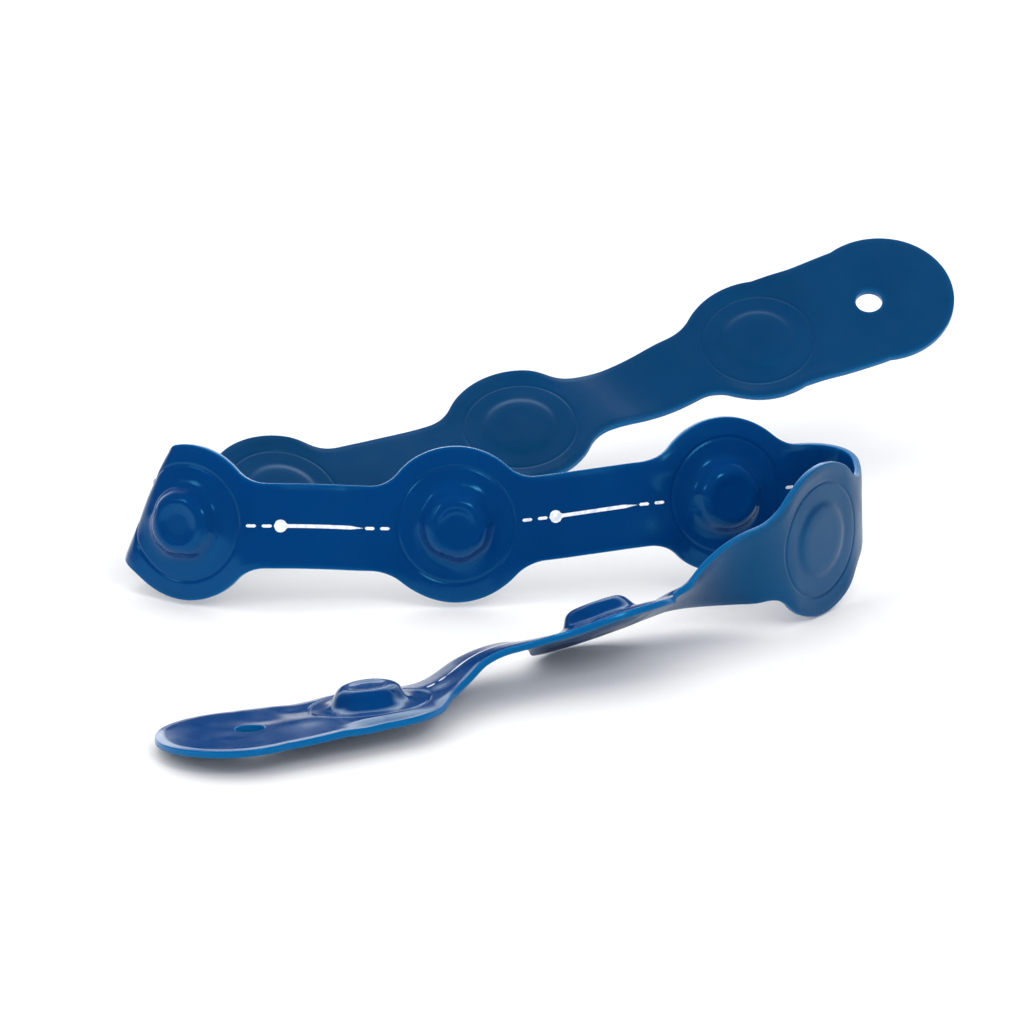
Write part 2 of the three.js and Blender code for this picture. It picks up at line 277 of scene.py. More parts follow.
def pod_place(station, across):
    """The nearest pod's number, and the distance and direction from its magnet."""
    index = np.clip(np.round(station / PITCH), 1 - MIDDLE_POD, POD_COUNT - MIDDLE_POD)
    along = station - index * PITCH
    return index + MIDDLE_POD, along, np.hypot(along, across), np.arctan2(across, along)


def edge_distance(station, across):
    """How far inside the strap's outline a place is."""
    _, along, radius, _ = pod_place(station, across)
    outward = np.abs(along)
    aside = np.abs(across)
    in_circle = POD_RADIUS - radius
    in_fillet = np.hypot(outward - FILLET_STATION, aside - FILLET_LIFT) - FILLET_RADIUS
    in_neck = NECK_HALF_WIDTH - aside
    in_lobe = aside * FILLET_STATION > outward * FILLET_LIFT
    neck_side = np.where(outward < FILLET_STATION, in_fillet, in_neck)
    neck_side = np.where(in_lobe, in_circle, neck_side)
    beyond = np.abs(station) - LAST_MAGNET
    in_tip = POD_RADIUS - np.hypot(beyond - TAB_END, aside)
    tab_side = np.where(beyond > TAB_ARC, in_tip, TAB_HALF_WIDTH - aside)
    tab_side = np.where(beyond < TAB_WAIST, in_circle, tab_side)
    return np.where(beyond > 0, tab_side, neck_side)


# ------------------------------------------------------------------ relief of the two faces

PROFILE_STEP = 0.05
PROFILE_END = 20.0


def rounded_profile(corners, rounding):
    """A table of heights at every radius, from corner points joined by rounded corners."""
    radii = np.arange(-PROFILE_END, PROFILE_END, PROFILE_STEP)
    heights = np.interp(np.abs(radii), *zip(*corners))
    reach = int(3 * rounding / PROFILE_STEP)
    spread = np.arange(-reach, reach + 1) * PROFILE_STEP
    weights = np.exp(-0.5 * (spread / rounding) ** 2)
    heights = np.convolve(np.pad(heights, reach, "edge"), weights / weights.sum(), "valid")
    return radii, heights


# Cross-sections from a magnet's middle outwards, as (radius, height) or (radius, depth).
POCKET_FOOT = 9.0
DOME_CORNERS = [
    (0, 4.95),
    (3.4, 4.95),
    (4.7, 5.3),
    (6.0, 5.25),
    (7.5, 4.3),
    (8.7, 1.75),
    (10.6, 1.15),
    (13.0, FACE),
]
POCKET_CORNERS = [(0, MAGNET_ROOF), (6.6, MAGNET_ROOF), (7.2, 4.0), (8.1, WELD), (POCKET_FOOT, WELD)]
BACK_DISC_CORNERS = [(0, 0.75), (6.0, 0.7), (7.8, 0.55), (9.2, 0.0), (10, 0)]
SOFT_ROUNDING = 0.5
POCKET_ROUNDING = 0.1
DOME = rounded_profile(DOME_CORNERS, SOFT_ROUNDING)
POCKET = rounded_profile(POCKET_CORNERS, POCKET_ROUNDING)
BACK_DISC = rounded_profile(BACK_DISC_CORNERS, SOFT_ROUNDING)

RING_RADIUS = 13.8
RING_DEPTH = 0.26
RING_HALF_WIDTH = 0.34
BACK_RING_SHARE = 0.7  # the ring's depth on the back, as a share of its depth on the front

# How the film puckers round each magnet's rim, differently on every pod. On one side it is drawn
# straight from corner to corner, and on the other it is pinched in at a few places.
FACET_TURN = np.pi / 4
FACET_DEPTH = 0.03
FACET_CURVE = 1.5
FACETED_SIDE = (-0.1, 0.6)  # cosines of the turn from its middle, from unfaceted to faceted
PINCH_COUNT = 2
PINCH_SPREAD = 1.9  # how far either way a pinch may be from opposite the faceted side
PINCH_WIDTH = 0.3
PINCH_DEPTH = 0.5
WAVE_COUNT = 5
WAVE_DEPTH = 0.35
WAVE_START = (7.5, 9.5)  # radii over which the waves grow
PUCKER_START = (4.2, 7.6)  # radii over which the puckers grow from the dome's flat top
PUCKER_END = (9.5, 13)  # and over which they fade into the flange


def pod_waves(random):
    """Smooth random waves round a pod, as (count, height, phase)."""
    return [(n, random.normal() / n, random.uniform(0, 2 * np.pi)) for n in range(1, WAVE_COUNT + 1)]


def pod_puckers():
    """For each pod: its waves, the middle of its faceted side, and where it is pinched."""
    random = np.random.RandomState(11)
    made = []
    for _ in range(POD_COUNT):
        side = random.uniform(0, 2 * np.pi)
        pinches = side + np.pi + random.uniform(-PINCH_SPREAD, PINCH_SPREAD, PINCH_COUNT)
        made.append({"waves": pod_waves(random), "side": side, "pinches": pinches})
    return made


PUCKERS = pod_puckers()


def facet_share(angle):
    """How far in a drawn-straight stretch lies from its corners, as a share of the radius."""
    return FACET_DEPTH * (1 - np.abs(np.cos(np.pi * angle / FACET_TURN)) ** FACET_CURVE)


def turn_between(angle, other):
    return np.abs((angle - other + np.pi) % (2 * np.pi) - np.pi)


def pucker_reach(pucker, radius, angle):
    """How much further out on the regular dome a place on one pod's dome stands."""
    rim = smooth(radius, *PUCKER_START) * (1 - smooth(radius, *PUCKER_END))
    drawn = smooth(np.cos(angle - pucker["side"]), *FACETED_SIDE)
    out = radius * facet_share(angle - pucker["side"]) * drawn
    for place in pucker["pinches"]:
        out = out + PINCH_DEPTH * np.exp(-((turn_between(angle, place) / PINCH_WIDTH) ** 2))
    grown = smooth(radius, *WAVE_START)
    for count, height, phase in pucker["waves"]:
        out = out - WAVE_DEPTH * height * np.cos(count * angle + phase) * grown
    return out * rim


def dome_radius(number, radius, angle):
    """The radius on the regular dome that each place on the puckered domes stands for."""
    out = np.zeros_like(radius)
    for pod in range(POD_COUNT):
        here = number == pod + 1
        if here.any():
            out[here] = pucker_reach(PUCKERS[pod], radius[here], angle[here])
    return radius + out


# The two trains of slight waves in the sheets.
BROAD_WAVE = {"height": 0.10, "along": 9.1, "across": 7.3, "bend": 0.8, "bend_width": 6}
FINE_WAVE = {"height": 0.07, "along": 4.7, "across": 5.9, "beat": 23}

# How the sheets' rims curl back on the pods, but not on the middles of the necks.
CURL_WIDTH = 5.0
CURL_DROP = 0.8
CURL_FADE = (9, 17)  # distances along the strap from a magnet over which the curl fades
CURL_CHANGE = 0.3  # how much of the curl comes and goes
CURL_CHANGE_ALONG = 11
CURL_CHANGE_ACROSS = 8

# Soft dents in both sheets, as (station, across, reach, depth). A negative depth is a bulge.
DENTS = [
    (49.0, 8.5, 5.0, -0.9),
    (48.0, -8.5, 5.0, -0.9),
    (-77.5, 11.0, 3.5, 0.5),
    (285.0, -6.0, 4.5, 0.4),
    (297.0, 4.5, 4.5, 0.3),
    (277.5, 3.0, 5.0, -0.35),
    (275.0, -9.0, 4.5, 0.5),
    (244.0, 6.0, 4.5, 0.5),
    (208.0, 7.0, 4.5, 0.6),
    (183.0, -6.0, 4.5, 0.6),
    (178.0, 6.0, 4.5, -0.6),
]


def rim_curl(station, across):
    """How far the sheets drop towards their rim."""
    _, offset, _, _ = pod_place(station, across)
    curl = 1 - smooth(edge_distance(station, across), 0, CURL_WIDTH)
    curl = curl * (1 - smooth(np.abs(offset), *CURL_FADE))
    change = np.sin(station / CURL_CHANGE_ALONG + across / CURL_CHANGE_ACROSS)
    return CURL_DROP * (1 - CURL_CHANGE + CURL_CHANGE * change) * curl


def sheet_waves(station, across):
    """The slight unevenness of both sheets together: waves, a curled rim and dents."""
    broad, fine = BROAD_WAVE, FINE_WAVE
    turn = station / broad["along"] + broad["bend"] * np.sin(across / broad["bend_width"])
    wave = broad["height"] * np.sin(turn) * np.cos(across / broad["across"] + 1)
    turn = station / fine["along"] + across / fine["across"] + 2
    wave += fine["height"] * np.sin(turn) * np.sin(station / fine["beat"])
    wave = wave - rim_curl(station, across)
    for dent_station, dent_across, reach, depth in DENTS:
        away = ((station - dent_station) ** 2 + (across - dent_across) ** 2) / reach ** 2
        wave = wave - depth * np.exp(-away)
    return wave


def rim_thinning(station, across):
    return RIM_DROP * (1 - smooth(edge_distance(station, across), 0, RIM_WIDTH))


def ring_groove(radius):
    return RING_DEPTH * np.exp(-(((radius - RING_RADIUS) / RING_HALF_WIDTH) ** 2))


def front_height(station, across):
    number, _, radius, angle = pod_place(station, across)
    height = np.interp(dome_radius(number, radius, angle), *DOME)
    height = height - rim_thinning(station, across) - ring_groove(radius)
    return height + sheet_waves(station, across)


def front_inside(station, across):
    _, _, radius, _ = pod_place(station, across)
    return np.interp(radius, *POCKET) + sheet_waves(station, across)


def back_height(station, across):
    _, _, radius, _ = pod_place(station, across)
    depth = FACE + np.interp(radius, *BACK_DISC) - BACK_RING_SHARE * ring_groove(radius)
    return sheet_waves(station, across) - depth + rim_thinning(station, across)


def back_inside(station, across):
    return sheet_waves(station, across) - WELD


# ------------------------------------------------------------------ rays of a pod or tab

# How many points each stretch of an outline has.
NECK_CUT_POINTS = 25
NECK_EDGE_POINTS = 4
FILLET_POINTS = 10
POD_ARC_POINTS = 14
TAB_CUT_POINTS = 37
TAB_POD_EDGE_POINTS = 11
TAB_POD_ARC_POINTS = 6
TAB_EDGE_POINTS = 5
TAB_ARC_POINTS = 40

NECK_COLUMNS = np.linspace(-1, 1, NECK_CUT_POINTS) * (NECK_HALF_WIDTH - RIM_ROUNDING)
TAB_COLUMNS = np.linspace(-1, 1, TAB_CUT_POINTS) * (TAB_HALF_WIDTH - RIM_ROUNDING)


def neck_outline():
    """Free edge from the neck's cut to the top of the pod, as (x, y, inward x, inward y)."""
    edge = np.linspace(POD_CUT, FILLET_STATION, NECK_EDGE_POINTS)
    points = [(x, NECK_HALF_WIDTH, 0, -1) for x in edge]
    meet = math.atan2(FILLET_LIFT, FILLET_STATION)
    for turn in np.linspace(math.pi / 2, meet, FILLET_POINTS)[1:]:
        inward = (-math.cos(turn), -math.sin(turn))
        x = FILLET_STATION + FILLET_RADIUS * inward[0]
        y = FILLET_LIFT + FILLET_RADIUS * inward[1]
        points.append((x, y, *inward))
    return points + arc_outline(meet, math.pi / 2, POD_ARC_POINTS)[1:]


def tab_side_outline():
    """Free edge from the tab-side cut to the top of an end pod."""
    waist = math.acos(TAB_WAIST / POD_RADIUS)
    edge = np.linspace(TAB_POD_CUT, TAB_WAIST, TAB_POD_EDGE_POINTS)
    points = [(x, TAB_HALF_WIDTH, 0, -1) for x in edge]
    return points + arc_outline(waist, math.pi / 2, TAB_POD_ARC_POINTS)[1:]


def arc_outline(start, end, count):
    made = []
    for angle in np.linspace(start, end, count):
        x, y = math.cos(angle), math.sin(angle)
        made.append((POD_RADIUS * x, POD_RADIUS * y, -x, -y))
    return made


def cut_outline(cut, columns):
    """The places on a cut, which has no rim: they aren't moved inwards."""
    return [(cut, y, 0, 0) for y in columns]


def flipped(points, x_sign, y_sign):
    return [(x_sign * x, y_sign * y, x_sign * u, y_sign * v) for x, y, u, v in points]


def pod_rays(number):
    """A pod's outline, anticlockwise from its cut ahead."""
    neck_end = (cut_outline(POD_CUT, NECK_COLUMNS), neck_outline())
    tab_end = (cut_outline(TAB_POD_CUT, TAB_COLUMNS), tab_side_outline())
    ahead_cut, ahead = tab_end if number == POD_COUNT else neck_end
    behind_cut, behind = tab_end if number == 1 else neck_end
    rays = ahead_cut + ahead
    rays += flipped(behind, -1, 1)[::-1][1:]
    rays += flipped(behind_cut, -1, 1)[::-1]
    rays += flipped(behind, -1, -1)
    rays += flipped(ahead, 1, -1)[::-1][1:]
    return np.array(rays, float)


def tab_rays():
    """A tab's outline round its hole, anticlockwise from its tip, with the cut behind."""
    half = []
    offset = TAB_END - HOLE_STATION
    arc = math.atan2(TAB_HALF_WIDTH, TAB_ARC - TAB_END)
    for angle in np.linspace(0, arc, TAB_ARC_POINTS):
        x, y = math.cos(angle), math.sin(angle)
        half.append((offset + POD_RADIUS * x, POD_RADIUS * y, -x, -y))
    cut = TAB_CUT - HOLE_STATION
    edge = np.linspace(TAB_ARC - HOLE_STATION, cut, TAB_EDGE_POINTS)
    half += [(x, TAB_HALF_WIDTH, 0, -1) for x in edge[1:]]
    behind = flipped(cut_outline(-cut, TAB_COLUMNS), -1, 1)[::-1]
    other = flipped(half, 1, -1)[1:][::-1]
    return np.array(half + behind + other, float)


# ------------------------------------------------------------------ meshes

RIM_ANGLES = np.radians([0, 30, 60, 90])
DOME_ROWS = [1.2, 2.4, 3.3, 3.9, 4.3, 4.7, 5.1, 5.6, 6.1, 6.5, 6.9, 7.2, 7.5, 7.8]
WALL_ROWS = [8.05, 8.3, 8.55, 8.8, 9.05, 9.3, 9.6, 9.9, 10.3, 10.8]
RING_ROWS = [11.4, 12.0, 12.6, 13.0, 13.25, 13.45, 13.62, 13.8, 13.98, 14.15, 14.35, 14.6]
FLANGE_STEPS = 12
TAB_ROWS = 16
TAB_BEND_ROWS = 15
NECK_ROWS = 41
HIDDEN_SHARES = (1, 0.7, 0.35, 0)
POCKET_ROWS = [8.1, 7.8, 7.5, 7.2, 6.9, 6.6, 5.0]

NORMAL_REACH = 0.2  # how far to each side of a point its slope is taken from
NORMAL_AGREEMENT = 0.3  # a face turned further from its exact normal is left as it is
SHARP_CORNER = math.radians(50)
SAME_PLACE = 2e-6  # metres
EDGE_GLOW_FADE = 0.25


class Shell:
    """The points and faces of one closed piece, before it becomes a Blender mesh."""

    def __init__(self, side):
        self.front = side == "front"
        self.outer = front_height if self.front else back_height
        self.hidden = front_inside if self.front else back_inside
        self.stations = []
        self.across = []
        self.heights = []
        self.shown = []
        self.faces = []

    def add(self, station, across, height, shown=False):
        """Adds a row of points and returns their numbers."""
        station, across, height = np.broadcast_arrays(station, across, height)
        start = len(self.stations)
        self.stations += list(station.ravel())
        self.across += list(across.ravel())
        self.heights += list(height.ravel())
        self.shown += [shown] * station.size
        return np.arange(start, start + station.size)

    def add_face(self, corners):
        unique = [int(c) for i, c in enumerate(corners) if c != corners[i - 1]]
        if len(unique) > 2:
            self.faces.append(unique if self.front else unique[::-1])

    def join(self, near, far):
        """Faces between two rows that both close on themselves."""
        for j in range(len(near)):
            k = (j + 1) % len(near)
            self.add_face([near[j], far[j], far[k], near[k]])

    def outer_row(self, station, across):
        return self.add(station, across, self.outer(station, across), True)

    def hidden_row(self, station, across):
        return self.add(station, across, self.hidden(station, across))

    def rim_rows(self, place):
        """Rows from the outer face round the edge. place(inset) gives stations and distances
        across at a distance in from the edge."""
        station, across = place(RIM_ROUNDING)
        level = self.outer(station, across)
        floor = self.hidden(station, across)
        away = 1 if self.front else -1
        rows = [self.add(station, across, level, True)]
        for angle in RIM_ANGLES[1:]:
            inset = RIM_ROUNDING * (1 - math.sin(angle))
            drop = RIM_ROUNDING * (1 - math.cos(angle))
            rows.append(self.add(*place(inset), level - away * drop))
        rows.append(self.add(*place(0), floor))
        return rows


def surface_normals(station, across, height):
    """Unit normals on the domed side of a height field over the strap."""
    reach = NORMAL_REACH
    ahead = strap_points(station + reach, across, height(station + reach, across))
    behind = strap_points(station - reach, across, height(station - reach, across))
    left = strap_points(station, across + reach, height(station, across + reach))
    right = strap_points(station, across - reach, height(station, across - reach))
    normals = np.cross(ahead - behind, left - right)
    return normals / np.linalg.norm(normals, axis=1, keepdims=True)


def set_outer_normals(data, shell):
    """Gives the outer face its exact normals, so that the shading runs on across each cut."""
    count = len(data.vertices)
    values = {}
    for name in ("station", "across", "shown"):
        values[name] = np.zeros(count, np.float32)
        data.attributes[name].data.foreach_get("value", values[name])
    shown = values["shown"] > 0.5
    exact = np.zeros((count, 3))
    exact[shown] = surface_normals(values["station"][shown], values["across"][shown], shell.outer)
    if not shell.front:
        exact = -exact
    normals = np.zeros((len(data.loops), 3))
    for face in data.polygons:
        corners = np.array(face.vertices)
        if shown[corners].all() and np.dot(exact[corners[0]], face.normal) > NORMAL_AGREEMENT:
            normals[face.loop_start : face.loop_start + face.loop_total] = exact[corners]
    data.normals_split_custom_set(normals.tolist())
    for name in values:
        data.attributes.remove(data.attributes[name])


def add_values(data, name, values):
    attribute = data.attributes.new(name, "FLOAT", "POINT")
    attribute.data.foreach_set("value", np.asarray(values, np.float32))


def make_piece(name, shell, material):
    """A Blender object from a shell: coincident points joined, and corners left sharp."""
    station, across = np.array(shell.stations), np.array(shell.across)
    points = strap_points(station, across, np.array(shell.heights))
    data = bpy.data.meshes.new(name)
    data.from_pydata(points.tolist(), [], shell.faces)
    data.polygons.foreach_set("use_smooth", [True] * len(data.polygons))
    # The painted glow at the cut edges, kept on the points for the material.
    add_values(data, "painted_edge_glow", painted_edge_glow(station, across))
    add_values(data, "station", station)
    add_values(data, "across", across)
    add_values(data, "shown", shell.shown)
    edit = bmesh.new()
    edit.from_mesh(data)
    bmesh.ops.remove_doubles(edit, verts=edit.verts, dist=SAME_PLACE)
    for edge in edit.edges:
        if len(edge.link_faces) == 2 and edge.calc_face_angle(0) > SHARP_CORNER:
            edge.smooth = False
    edit.to_mesh(data)
    edit.free()
    set_outer_normals(data, shell)
    data.materials.append(material)
    piece = bpy.data.objects.new(name, data)
    bpy.context.scene.collection.objects.link(piece)
    return piece


def hole_distance(station, across):
    beyond = np.abs(station) - LAST_MAGNET - HOLE_STATION
    return np.hypot(beyond, across) - HOLE_RADIUS


def painted_edge_glow(station, across):
    """The share of painted glow, standing in for light carried through the sheet to its edges: 1 at a
    cut edge, fading inwards.
    """
    inside = np.minimum(edge_distance(station, across), hole_distance(station, across))
    return np.exp(-np.maximum(inside, 0) / EDGE_GLOW_FADE)


# ------------------------------------------------------------------ pods, tabs and necks


class Rays:
    """Straight lines from a centre on the strap to each point of an outline."""

    def __init__(self, base, facing, outline):
        self.base = base
        self.facing = facing
        self.x, self.y, self.inward_x, self.inward_y = outline.T
        self.angle = np.arctan2(self.y, self.x)

    def place(self, x, y):
        return self.base + self.facing * x, self.facing * y

    def circle(self, radius):
        return self.place(radius * np.cos(self.angle), radius * np.sin(self.angle))

    def edge(self, inset):
        return self.place(self.x + self.inward_x * inset, self.y + self.inward_y * inset)

    def between(self, radius, share):
        """Part of the way from a circle to the inside of the rim."""
        end_x = self.x + self.inward_x * RIM_ROUNDING
        end_y = self.y + self.inward_y * RIM_ROUNDING
        x = radius * np.cos(self.angle) * (1 - share) + end_x * share
        y = radius * np.sin(self.angle) * (1 - share) + end_y * share
        return self.place(x, y)


def pod_shell(number, side):
    """One sheet of a pod: its outer face, its rim, and the hidden face round the magnet."""
    shell = Shell(side)
    base = (number - MIDDLE_POD) * PITCH
    rays = Rays(base, 1, pod_rays(number))
    count = len(rays.angle)
    rows = [np.repeat(shell.outer_row(np.array([base]), np.zeros(1)), count)]
    rows += [shell.outer_row(*rays.circle(radius)) for radius in DOME_ROWS + WALL_ROWS + RING_ROWS]
    for step in range(1, FLANGE_STEPS):
        rows.append(shell.outer_row(*rays.between(RING_ROWS[-1], step / FLANGE_STEPS)))
    rows += shell.rim_rows(rays.edge)
    rows += [shell.hidden_row(*rays.between(POCKET_FOOT, share)) for share in HIDDEN_SHARES]
    rows += [shell.hidden_row(*rays.circle(radius)) for radius in POCKET_ROWS]
    rows.append(np.repeat(shell.hidden_row(np.array([base]), np.zeros(1)), count))
    for near, far in zip(rows, rows[1:]):
        shell.join(near, far)
    return shell



def tab_shell(facing, side):
    """One sheet of an end tab, from its punched hole outwards and back."""
    shell = Shell(side)
    rays = Rays(facing * (LAST_MAGNET + HOLE_STATION), facing, tab_rays())
    hole = shell.rim_rows(lambda inset: rays.circle(HOLE_RADIUS + inset))[::-1]
    start = HOLE_RADIUS + RIM_ROUNDING
    rows = list(hole)
    for step in range(1, TAB_ROWS):
        rows.append(shell.outer_row(*rays.between(start, step / TAB_ROWS)))
    rows += shell.rim_rows(rays.edge)
    rows += [shell.hidden_row(*rays.between(start, share)) for share in HIDDEN_SHARES]
    for near, far in zip(rows, rows[1:] + rows[:1]):
        shell.join(near, far)
    return shell


def strip_edge(shell, station, half_width, sign):
    """The points down one edge of a strip at a station, from its rounded rim to the weld."""

    def place(inset):
        return np.array([station]), np.array([sign * (half_width - inset)])

    return np.concatenate(shell.rim_rows(place)[1:])


def strip_shell(low, high, columns, side, row_count):
    """One sheet of a length that bends, from one cut to the next."""
    shell = Shell(side)
    inner_columns = columns[-2:0:-1]
    half_width = columns[-1] + RIM_ROUNDING
    sections = []
    for station in np.linspace(low, high, row_count):
        top = shell.outer_row(np.full(len(columns), station), columns)
        left = strip_edge(shell, station, half_width, -1)
        right = strip_edge(shell, station, half_width, 1)
        bottom = shell.hidden_row(np.full(len(inner_columns), station), inner_columns)
        sections.append(np.concatenate([top, right, bottom, left[::-1]]))
    for near, far in zip(sections, sections[1:]):
        shell.join(near, far)
    shell.add_face(list(sections[0]))
    shell.add_face(list(sections[-1][::-1]))
    return shell


# ------------------------------------------------------------------ printed marks

PRINT_LIFT = 0.035
PRINT_SINK = 0.03
PRINT_STEP = 0.4
FEWEST_PRINT_ROWS = 8
PIN_LENGTH = 21.0
PIN_HEAD = 1.5
PIN_SHAFT = 0.42
PIN_TAPER = 3.0
PIN_TIP_SHARE = 0.05
BEHIND_HEAD = 0.03  # the pin's half width at the very end of its head
DASH_LENGTH = 2.4
DASH_HALF_WIDTH = 0.36
DASH_PLACES = (-15.7, -12.1, 12.1, 15.7)


def pin_half_width(u):
    """Half the width of a pin with a round head, a distance u from its middle."""
    head_centre = PIN_HEAD - PIN_LENGTH / 2
    head = np.sqrt(np.maximum(PIN_HEAD ** 2 - (u - head_centre) ** 2, 0))
    point = np.clip((PIN_LENGTH / 2 - u) / PIN_TAPER, PIN_TIP_SHARE, 1) * PIN_SHAFT
    return np.maximum(head, np.where(u > head_centre, point, BEHIND_HEAD))


def dash_half_width(u):
    reach = np.maximum(np.abs(u) - DASH_LENGTH / 2 + DASH_HALF_WIDTH, 0)
    return np.sqrt(np.maximum(DASH_HALF_WIDTH ** 2 - reach ** 2, 1e-4))


def add_stroke(shell, middle, length, half_width):
    """A thin raised stroke along the strap, closed all round."""
    along = np.linspace(-length / 2, length / 2, max(int(length / PRINT_STEP), FEWEST_PRINT_ROWS))
    sections = []
    for u in along:
        half = float(half_width(np.array(u)))
        across = np.array([-half, 0, half, half, 0, -half])
        station = np.full(6, middle + u)
        lift = np.array([PRINT_LIFT] * 3 + [-PRINT_SINK] * 3)
        height = front_height(station, across) + lift
        sections.append(shell.add(station, across, height))
    for near, far in zip(sections, sections[1:]):
        shell.join(near, far)
    shell.add_face(list(sections[0]))
    shell.add_face(list(sections[-1][::-1]))


def print_shell(first_pod):
    """A straight pin between running stitches, printed on the neck after a pod."""
    shell = Shell("front")
    middle = (first_pod + 0.5 - MIDDLE_POD) * PITCH
    add_stroke(shell, middle, PIN_LENGTH, pin_half_width)
    for place in DASH_PLACES:
        add_stroke(shell, middle + place, DASH_LENGTH, dash_half_width)
    return shell


# ------------------------------------------------------------------ materials


def new_material(name):
    material = bpy.data.materials.new(name)
    material.use_nodes = True
    nodes = material.node_tree.nodes
    return material, nodes, material.node_tree.links, nodes["Principled BSDF"]


def add_noise(nodes, links, scale, detail=2.0):
    place = nodes.new("ShaderNodeTexCoord")
    noise = nodes.new("ShaderNodeTexNoise")
    noise.inputs["Scale"].default_value = scale
    noise.inputs["Detail"].default_value = detail
    links.new(place.outputs["Object"], noise.inputs["Vector"])
    return noise.outputs["Fac"]


def add_mix(nodes, links, factor, first, second):
    """A colour between two others. Each may be a colour or a socket."""
    mix = nodes.new("ShaderNodeMix")
    mix.data_type = "RGBA"
    links.new(factor, mix.inputs["Factor"])
    for socket, colour in ((mix.inputs["A"], first), (mix.inputs["B"], second)):
        if isinstance(colour, tuple):
            socket.default_value = (*colour, 1)
        else:
            links.new(colour, socket)
    return mix.outputs["Result"]


def add_range(nodes, links, value, low, high, from_low=0.0, from_high=1.0):
    mapped = nodes.new("ShaderNodeMapRange")
    mapped.inputs["From Min"].default_value = from_low
    mapped.inputs["From Max"].default_value = from_high
    mapped.inputs["To Min"].default_value = low
    mapped.inputs["To Max"].default_value = high
    links.new(value, mapped.inputs["Value"])
    return mapped.outputs["Result"]


def add_bump(nodes, links, shader, height, strength, distance):
    bump = nodes.new("ShaderNodeBump")
    bump.inputs["Strength"].default_value = strength
    bump.inputs["Distance"].default_value = distance
    links.new(height, bump.inputs["Height"])
    links.new(bump.outputs["Normal"], shader.inputs["Normal"])


SHEEN = (0.12, 0.7, 1.0)  # the film's highlights are tinted blue


def sheet_material(name, deep, pale, edge, roughness, grain_scale, grain_depth):
    """Soft coloured PVC: a slightly uneven blue, with a painted glow that brightens it at the cut
    edges, standing in for light carried through the sheet.
    """
    material, nodes, links, shader = new_material(name)
    cloud = add_range(nodes, links, add_noise(nodes, links, 45), 0, 1, 0.3, 0.7)
    body = add_mix(nodes, links, cloud, deep, pale)
    # The cut edges get a painted glow: their brighter colour stands in for light carried through the
    # sheet.
    glow = nodes.new("ShaderNodeAttribute")
    glow.attribute_name = "painted_edge_glow"
    links.new(add_mix(nodes, links, glow.outputs["Fac"], body, edge), shader.inputs["Base Color"])
    smudge = add_noise(nodes, links, 160, 3)
    links.new(add_range(nodes, links, smudge, *roughness, 0.3, 0.7), shader.inputs["Roughness"])
    shader.inputs["IOR"].default_value = 1.5
    shader.inputs["Specular Tint"].default_value = (*SHEEN, 1)
    grain = add_noise(nodes, links, grain_scale, 3)
    add_bump(nodes, links, shader, grain, 0.5, grain_depth)
    return material


def ink_material():
    material, nodes, links, shader = new_material("white_ink")
    worn = add_range(nodes, links, add_noise(nodes, links, 900), 0, 1, 0.35, 0.6)
    colour = add_mix(nodes, links, worn, (0.62, 0.68, 0.78), (0.9, 0.91, 0.93))
    links.new(colour, shader.inputs["Base Color"])
    shader.inputs["Roughness"].default_value = 0.5
    return material


def nickel_material():
    material, nodes, links, shader = new_material("nickel")
    shader.inputs["Metallic"].default_value = 1
    brushed = add_noise(nodes, links, 1500, 3)
    colour = add_mix(nodes, links, brushed, (0.55, 0.56, 0.58), (0.7, 0.71, 0.72))
    links.new(colour, shader.inputs["Base Color"])
    links.new(add_range(nodes, links, brushed, 0.18, 0.34), shader.inputs["Roughness"])
    return material


FRONT_MATERIAL = sheet_material(
    "front_pvc",
    deep=(0.0004, 0.033, 0.145),
    pale=(0.0004, 0.038, 0.165),
    # The edge colour is a painted glow at the cut edges, for light carried through the sheet.
    edge=(0.001, 0.1, 0.3),
    roughness=(0.14, 0.21),
    grain_scale=2200,
    grain_depth=0.000008,
)
BACK_MATERIAL = sheet_material(
    "back_pvc",
    deep=(0.0004, 0.033, 0.115),
    pale=(0.0006, 0.039, 0.135),
    # The edge colour is a painted glow at the cut edges, for light carried through the sheet.
    edge=(0.001, 0.085, 0.25),
    roughness=(0.3, 0.4),
    grain_scale=2600,
    grain_depth=0.000012,
)
INK = ink_material()
NICKEL = nickel_material()

# ------------------------------------------------------------------ assembly

SIDES = ("front", "back")
MATERIALS = {"front": FRONT_MATERIAL, "back": BACK_MATERIAL}


def cut_points(station, columns):
    """The corners of a cut through both sheets."""
    across = np.array([columns[0], columns[-1], columns[0], columns[-1]])
    across = across * (1 + RIM_ROUNDING / columns[-1])
    return strap_points(station, across, np.array([FACE, FACE, -FACE, -FACE]) * CUT_MARGIN)


def bend_ends(low_cut, high_cut):
    """Where a neck may start and stop turning, so that both its cuts stay stiff."""
    middle = low_cut.mean(0)
    direction = high_cut.mean(0) - middle
    direction /= np.linalg.norm(direction)
    start = ((low_cut - middle) @ direction).max()
    end = ((high_cut - middle) @ direction).min()
    if end - start < SHORTEST_BEND * MM:
        raise ValueError("a neck is too tightly folded to bend")
    return middle + direction * start, middle + direction * end


def add_stiff_sheet(body, side, shell):
    """One sheet of a pod or tab, which moves with its body and stands for the CAD's skin."""
    piece = make_piece(f"{body}_{side}", shell, MATERIALS[side])
    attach(piece, body)
    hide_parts(f"{body}_{side}_skin")


def add_bending_piece(name, shell, material):
    """A piece that crosses the hinge between two bodies, with its points baked into the imported
    frame.
    """
    piece = make_piece(name, shell, material)
    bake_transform(piece)


def add_pods():
    for number in range(1, POD_COUNT + 1):
        for side in SIDES:
            add_stiff_sheet(f"pod_{number}", side, pod_shell(number, side))


